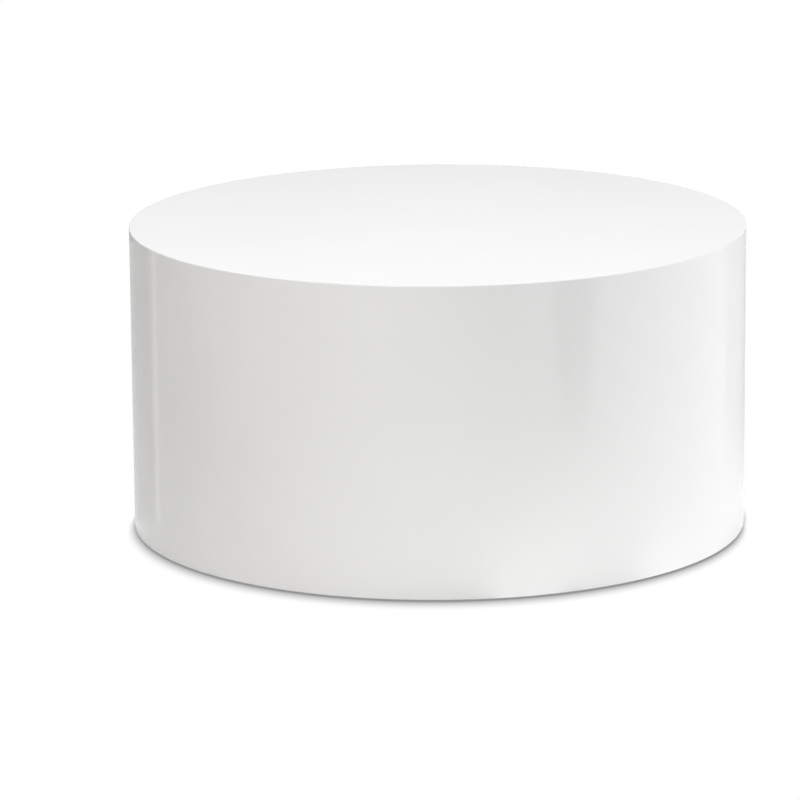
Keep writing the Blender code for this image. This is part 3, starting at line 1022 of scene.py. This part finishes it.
class DRUM_OT_inserts(DrumStep, Operator):
    """Model the flanged threaded inserts of the glides"""

    bl_idname = "drum_table.inserts"
    bl_label = "Threaded Inserts"

    def execute(self, context):
        sizes = context.scene.drum_fixings
        nodes = numbered("insert_nut")
        low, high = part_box(nodes[0])
        flange = half_width(nodes[0])
        barrel = flange - sizes.insert_flange
        bore = sizes.stud_crest + FIT
        thick = sizes.insert_plate
        ease = thick / 5.0
        top = low.z + thick
        profile = [(bore, low.z + ease), (bore + ease, low.z), (flange - ease, low.z)]
        profile += [(flange, low.z + ease), (flange, top - ease), (flange - ease, top), (barrel, top)]
        step = (high.z - top) / (sizes.insert_ribs + 1)
        groove = barrel - sizes.rib_depth
        for index in range(sizes.insert_ribs):
            height = top + step * (index + 0.5)
            sunk = [(groove, height + step * part) for part in RIB_GROOVE]
            profile += [(barrel, height), *sunk, (barrel, height + step)]
        profile += [(barrel, high.z - ease), (barrel - ease, high.z), (bore, high.z)]
        master = turn("insert_master", profile, SMALL_FACETS, ring=True)
        long, wide, deep = NOTCH
        notch = (flange * long, flange * wide, thick * deep)
        trim(master, "DIFFERENCE", block("driving_notch", notch, (0.0, 0.0, low.z)))
        set_out(master, "ribbed", "zinc_steel", nodes)
        return {"FINISHED"}


class DRUM_OT_glide_studs(DrumStep, Operator):
    """Model the threaded studs of the levelling glides"""

    bl_idname = "drum_table.glide_studs"
    bl_label = "Glide Studs"

    def execute(self, context):
        sizes = context.scene.drum_fixings
        nodes = numbered("glide_stud")
        low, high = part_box(nodes[0])
        collar_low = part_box("glide_pad_1")[1].z + FIT
        collar_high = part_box("insert_nut_1")[0].z - FIT
        crest = sizes.stud_crest
        foot = crest + sizes.stud_foot
        thick = sizes.foot_plate
        profile = [(foot, low.z), (foot, low.z + thick)]
        profile += [(crest, low.z + thick), (crest, collar_low + thick / 2.0)]
        master = turn("stud_master", profile, SMALL_FACETS)
        trim(master, "UNION", self.collar(sizes, collar_low, collar_high))
        chamfer = crest - sizes.stud_root
        end = high.z - chamfer
        thread = (sizes.stud_root, crest, sizes.stud_pitch)
        rod = threaded_rod("stud_thread", *thread, collar_high - thick, end)
        draw_tip(rod, end, chamfer, STUD_POINT)
        trim(master, "UNION", rod)
        set_out(master, "threaded", "zinc_steel", nodes, self.place, body="stud_{}")
        return {"FINISHED"}

    def place(self, name):
        """A stud stands on the axis of its pad."""
        return over(name.replace("stud", "pad"))

    def collar(self, sizes, low, high):
        """Hexagon collar, its corners turned off to a cone at both faces."""
        deselect()
        flat = sizes.collar_width / 2.0
        corner = flat / math.cos(math.pi / 6.0)
        middle = (0.0, 0.0, (low + high) / 2.0)
        bpy.ops.mesh.primitive_cylinder_add(vertices=6, radius=corner, depth=high - low, location=middle)
        collar = named("stud_collar")
        fall = (corner - flat) / 2.0
        face = flat * COLLAR_FACE
        outside = corner + NEAR
        cone = [(face, low), (outside, low + fall), (outside, high - fall), (face, high)]
        trim(collar, "INTERSECT", turn("collar_turning", cone, SMALL_FACETS))
        return collar


class DRUM_OT_glide_pads(DrumStep, Operator):
    """Model the moulded pads that stand on the floor"""

    bl_idname = "drum_table.glide_pads"
    bl_label = "Glide Pads"

    def execute(self, context):
        sizes = context.scene.drum_fixings
        nodes = numbered("glide_pad")
        low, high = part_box(nodes[0])
        radius = half_width(nodes[0])
        neck = sizes.stud_crest + FIT
        socket = neck + sizes.stud_foot
        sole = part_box("glide_stud_1")[0].z - FIT
        lip = high.z - sizes.pad_lip
        ease = sizes.pad_ease
        groove = sizes.tread_depth
        profile = [(socket * SOCKET_RING, sole), (socket, sole), (socket, lip), (neck, lip)]
        profile += [(neck, high.z - ease / 2.0), (neck + ease / 2.0, high.z)]
        profile += [(radius * PAD_CROWN, high.z)]
        profile += [(radius * PAD_SHOULDER, high.z - ease * SHOULDER_FALL)]
        profile += arc(radius - ease, high.z - ease * EDGE_FALL, ease, 0.0, QUARTER)
        profile += arc(radius - ease, low.z + ease, ease, QUARTER, math.pi)
        for tread in PAD_TREADS:
            outside = radius * tread
            inside = outside - sizes.tread_width
            profile += [(outside, low.z), (outside - groove, low.z + groove)]
            profile += [(inside + groove, low.z + groove), (inside, low.z)]
        profile += [(radius * PAD_MIDDLE, low.z)]
        master = turn("pad_master", profile, SMALL_FACETS)
        set_out(master, "moulded", "nylon", nodes, body="pad_{}")
        return {"FINISHED"}


PLAIN = (1.0, 1.0, 1.0)
WARM = (1.0, 0.955, 0.89)

# Soft boxes aimed at the drum: name, degrees to the right of the camera, degrees up, distance, width,
# watts, colour
SOFT_BOXES = (
    ("front_high", -5.0, 65.0, 2.4, 1.2, 52.9, PLAIN),
    ("right_low", 99.0, 8.0, 2.4, 1.0, 34.2, PLAIN),
    ("left_low", -45.0, 8.0, 2.4, 1.0, 6.9, WARM),
    ("back_left", -150.0, 8.0, 2.4, 1.0, 18.0, PLAIN),
    ("back_right", 172.0, 8.0, 2.4, 1.0, 9.0, PLAIN),
    ("under", 0.0, -90.0, 1.6, 0.6, 22.0, PLAIN),
)

# Bounce cards just above the floor that look up: name, degrees to the right of the camera, distance,
# height, width, watts
BOUNCE_CARDS = (
    ("bounce_front", 0.0, 0.55, 0.0005, 0.45, 0.128),
    ("bounce_right", 30.0, 0.55, 0.0010, 0.45, 0.085),
    ("bounce_side", 60.0, 0.55, 0.0015, 0.45, 0.174),
    ("bounce_rim", 18.0, 0.41, 0.0020, 0.20, 0.047),
)

# Cards that only show in the gloss, lower than the drum so that its top doesn't mirror them: name, both
# ends of the foot on the floor, width of the foot as a share, height of the fade, brightness at the foot
# and above the fade
GLOSS_CARDS = (
    ("flag_left", (-0.33, 0.66), (-0.85, 0.45), 1.0, 0.10, 1.0, 0.50),
    ("flag_left_near", (-0.3005, 0.006), (-0.365, -0.030), 1.0, 0.22, 0.80, 0.67),
    ("line_left", (-0.3512, -0.0658), (-0.3460, -0.0596), 1.0, 0.20, 1.4, 1.4),
    ("flag_right", (0.305, 0.10), (0.42, 0.02), 1.0, 0.08, 1.0, 0.65),
    ("flag_front", (0.437, -0.717), (0.653, -0.495), 0.3, 0.05, 1.0, 0.0),
)

SENSOR_WIDTH = 36.0
SHADE_SAMPLES = 12


def heading(turned):
    """Level direction at an angle to the right of the camera, seen from the drum."""
    return Vector((math.sin(turned), -math.cos(turned)))


def hide_from(item, *rays):
    for ray in rays:
        setattr(item, f"visible_{ray}", False)


def empty_tree(owner):
    """The emptied node tree of a new material or world."""
    owner.use_nodes = True
    owner.node_tree.nodes.clear()
    return owner.node_tree


def either(tree, factor, first, second):
    """Mix two shaders by a factor."""
    return node(tree, "MixShader", {0: factor, 1: first.outputs[0], 2: second.outputs[0]})


def seen_ray(tree):
    """1 for rays that show the backdrop: from the camera, a reflection or a see-through surface."""
    path = node(tree, "LightPath").outputs
    mirrored = combined(tree, "MAXIMUM", path["Is Camera Ray"], path["Is Glossy Ray"])
    return combined(tree, "MAXIMUM", mirrored, path["Is Transmission Ray"])


def contact_shade(tree, studio):
    """Brightness of the floor round the rim: the shadow reaches further in front than elsewhere."""
    towards = vectored(tree, "NORMALIZE", coordinates(tree))
    lean = (*heading(studio.contact_lean), 0.0)
    front = vectored(tree, "DOT_PRODUCT", towards, lean, result="Value")
    aside = studio.contact_aside
    ahead = ranged(tree, front, result=(aside, studio.contact_reach))
    behind = ranged(tree, front, span=(-1.0, 0.0), result=(studio.contact_behind, aside))
    reach = combined(tree, "MAXIMUM", ahead, behind)
    near = node(tree, "AmbientOcclusion", {"Distance": reach}, samples=SHADE_SAMPLES).outputs["AO"]
    hidden = combined(tree, "SUBTRACT", 1.0, near, clamp=True)
    gained = combined(tree, "MULTIPLY", hidden, studio.contact_gain, clamp=True)
    eased = combined(tree, "POWER", gained, studio.contact_fall)
    dark = combined(tree, "MULTIPLY", eased, studio.contact_depth)
    return combined(tree, "SUBTRACT", 1.0, dark, clamp=True)


def floor_material(studio):
    """White to the eye with a tight contact shadow, plain and pale to the light, clear from below."""
    made = bpy.data.materials.new("studio floor")
    tree = empty_tree(made)
    plain = node(tree, "BsdfDiffuse", {"Color": (*studio.floor, 1.0)})
    white = node(tree, "Emission", {"Color": contact_shade(tree, studio)})
    above = either(tree, seen_ray(tree), plain, white)
    below = node(tree, "NewGeometry").outputs["Backfacing"]
    surface = either(tree, below, above, node(tree, "BsdfTransparent"))
    node(tree, "OutputMaterial", {"Surface": surface.outputs[0]})
    return made


def card_material(name, fade, foot, head):
    """A glow that changes from the foot of a card to the height of the fade."""
    made = bpy.data.materials.new(name)
    tree = empty_tree(made)
    height = height_of(tree, coordinates(tree))
    glow = node(tree, "Emission", {"Strength": ranged(tree, height, (0.0, fade), (foot, head))})
    node(tree, "OutputMaterial", {"Surface": glow.outputs[0]})
    return made


class DRUM_OT_studio(DrumStep, Operator):
    """Set up the white floor, the soft light and the camera"""

    bl_idname = "drum_table.studio"
    bl_label = "Studio"

    def execute(self, context):
        studio = context.scene.drum_studio
        self.lay_floor(studio)
        self.light_dome(studio)
        for box in SOFT_BOXES:
            self.hang_box(*box)
        for card in BOUNCE_CARDS:
            self.lay_card(*card)
        for card in GLOSS_CARDS:
            self.stand_card(*card)
        self.place_camera(studio)
        context.scene.view_settings.view_transform = "Standard"
        return {"FINISHED"}

    def lay_floor(self, studio):
        """A round floor, open under the drum so that light from below reaches its inside."""
        deselect()
        bpy.ops.mesh.primitive_circle_add(vertices=SMALL_FACETS, radius=FORMER_OUTER)
        floor = named("studio_floor")
        edit(floor)
        draw_out(studio.floor_reach / FORMER_OUTER)
        close_up()
        if floor.data.polygons[0].normal.z < 0.0:
            floor.data.flip_normals()
        floor.data.materials.append(floor_material(studio))

    def light_dome(self, studio):
        """Even light from all round, behind a backdrop that is white to the eye."""
        world = bpy.data.worlds.new("studio")
        tree = empty_tree(world)
        skies = []
        for strength in (studio.dome, 1.0):
            skies.append(node(tree, "Background", {"Color": (*PLAIN, 1.0), "Strength": strength}))
        surface = either(tree, seen_ray(tree), *skies)
        node(tree, "OutputWorld", {"Surface": surface.outputs[0]})
        bpy.context.scene.world = world

    def add_box(self, name, width, watts, tint):
        """A soft box that lights the drum but shows neither to the camera nor in the gloss."""
        deselect()
        bpy.ops.object.light_add(type="AREA")
        lamp = bpy.context.object
        lamp.name = name
        lamp.data.shape = "SQUARE"
        lamp.data.size = width
        lamp.data.energy = watts
        lamp.data.color = tint
        hide_from(lamp, "camera", "glossy")
        return lamp

    def hang_box(self, name, right, up, distance, width, watts, tint):
        """Hang one soft box round the middle of the drum and aim it there."""
        lamp = self.add_box(name, width, watts, tint)
        above = math.radians(up)
        outward = Vector((*heading(math.radians(right)) * math.cos(above), math.sin(above)))
        lamp.location = outward * distance + Vector((0.0, 0.0, TABLE_HEIGHT / 2.0))
        lamp.rotation_euler = outward.to_track_quat("Z", "Y").to_euler()

    def lay_card(self, name, right, distance, height, width, watts):
        """Lay one glowing card on the floor, as a well lit floor there would bounce light up."""
        lamp = self.add_box(name, width, watts, PLAIN)
        turned = math.radians(right)
        lamp.location = (*heading(turned) * distance, height)
        lamp.rotation_euler = (math.pi, 0.0, -turned)

    def stand_card(self, name, first, last, narrow, fade, foot, head):
        """Stand one card on the floor that only reflections see."""
        deselect()
        height = TOP_UNDERSIDE
        across = Vector(last) - Vector(first)
        middle = (Vector(first) + Vector(last)) / 2.0
        upright = (QUARTER, 0.0, math.atan2(across.y, across.x))
        bpy.ops.mesh.primitive_plane_add(size=1.0, location=(*middle, height / 2.0), rotation=upright)
        bpy.context.object.scale = (across.length, height, 1.0)
        card = named(name)
        edit(card)
        pick(lambda vertex: vertex.co.z < height / 2.0)
        widen(narrow, middle)
        bpy.ops.object.mode_set(mode="OBJECT")
        card.data.materials.append(card_material(name, fade, foot, head))
        hide_from(card, "camera", "diffuse", "shadow", "transmission")

    def place_camera(self, studio):
        """Stand the camera in front of the drum, then turn, tilt and lean it."""
        deselect()
        bpy.ops.object.camera_add()
        camera = bpy.context.object
        camera.name = "photo_camera"
        camera.data.sensor_width = SENSOR_WIDTH
        camera.data.lens = studio.camera_lens
        stand = Matrix.Translation((0.0, -studio.camera_distance, studio.camera_height))
        tilted = Matrix.Rotation(QUARTER - studio.camera_pitch, 4, "X")
        camera.matrix_world = stand @ about_z(studio.camera_yaw) @ tilted @ about_z(studio.camera_roll)
        bpy.context.scene.camera = camera


GROUPS = (
    ("drum_shell", DrumShell, "Shell"),
    ("drum_frame", DrumFrame, "Frame"),
    ("drum_fixings", DrumFixings, "Fixings"),
    ("drum_finish", DrumFinish, "Finishes"),
    ("drum_studio", DrumStudio, "Studio"),
)

OPERATORS = (
    DRUM_OT_top_panel,
    DRUM_OT_wall_skin,
    DRUM_OT_wall_core,
    DRUM_OT_formers,
    DRUM_OT_uprights,
    DRUM_OT_wood_screws,
    DRUM_OT_dowels,
    DRUM_OT_inserts,
    DRUM_OT_glide_studs,
    DRUM_OT_glide_pads,
    DRUM_OT_studio,
)


class DRUM_PT_table(Panel):
    """Sizes, finishes and steps of the drum table."""

    bl_label = "Drum Table"
    bl_idname = "DRUM_PT_table"
    bl_space_type = "VIEW_3D"
    bl_region_type = "UI"
    bl_category = "Drum Table"

    def draw(self, context):
        for attribute, group, title in GROUPS:
            box = self.layout.box()
            box.label(text=title)
            for key in group.__annotations__:
                box.prop(getattr(context.scene, attribute), key)
        column = self.layout.column()
        for operator in OPERATORS:
            column.operator(operator.bl_idname)


def register():
    for attribute, group, title in GROUPS:
        bpy.utils.register_class(group)
        setattr(bpy.types.Scene, attribute, PointerProperty(type=group, name=title))
    for item in (*OPERATORS, DRUM_PT_table):
        bpy.utils.register_class(item)


def unregister():
    for item in (DRUM_PT_table, *reversed(OPERATORS)):
        bpy.utils.unregister_class(item)
    for attribute, group, title in reversed(GROUPS):
        delattr(bpy.types.Scene, attribute)
        bpy.utils.unregister_class(group)


def main():
    register()
    bpy.ops.drum_table.top_panel()
    bpy.ops.drum_table.wall_skin()
    bpy.ops.drum_table.wall_core()
    bpy.ops.drum_table.formers()
    bpy.ops.drum_table.uprights()
    bpy.ops.drum_table.wood_screws()
    bpy.ops.drum_table.dowels()
    bpy.ops.drum_table.inserts()
    bpy.ops.drum_table.glide_studs()
    bpy.ops.drum_table.glide_pads()
    bpy.ops.drum_table.studio()
    deselect()


if __name__ == "__main__":
    main()
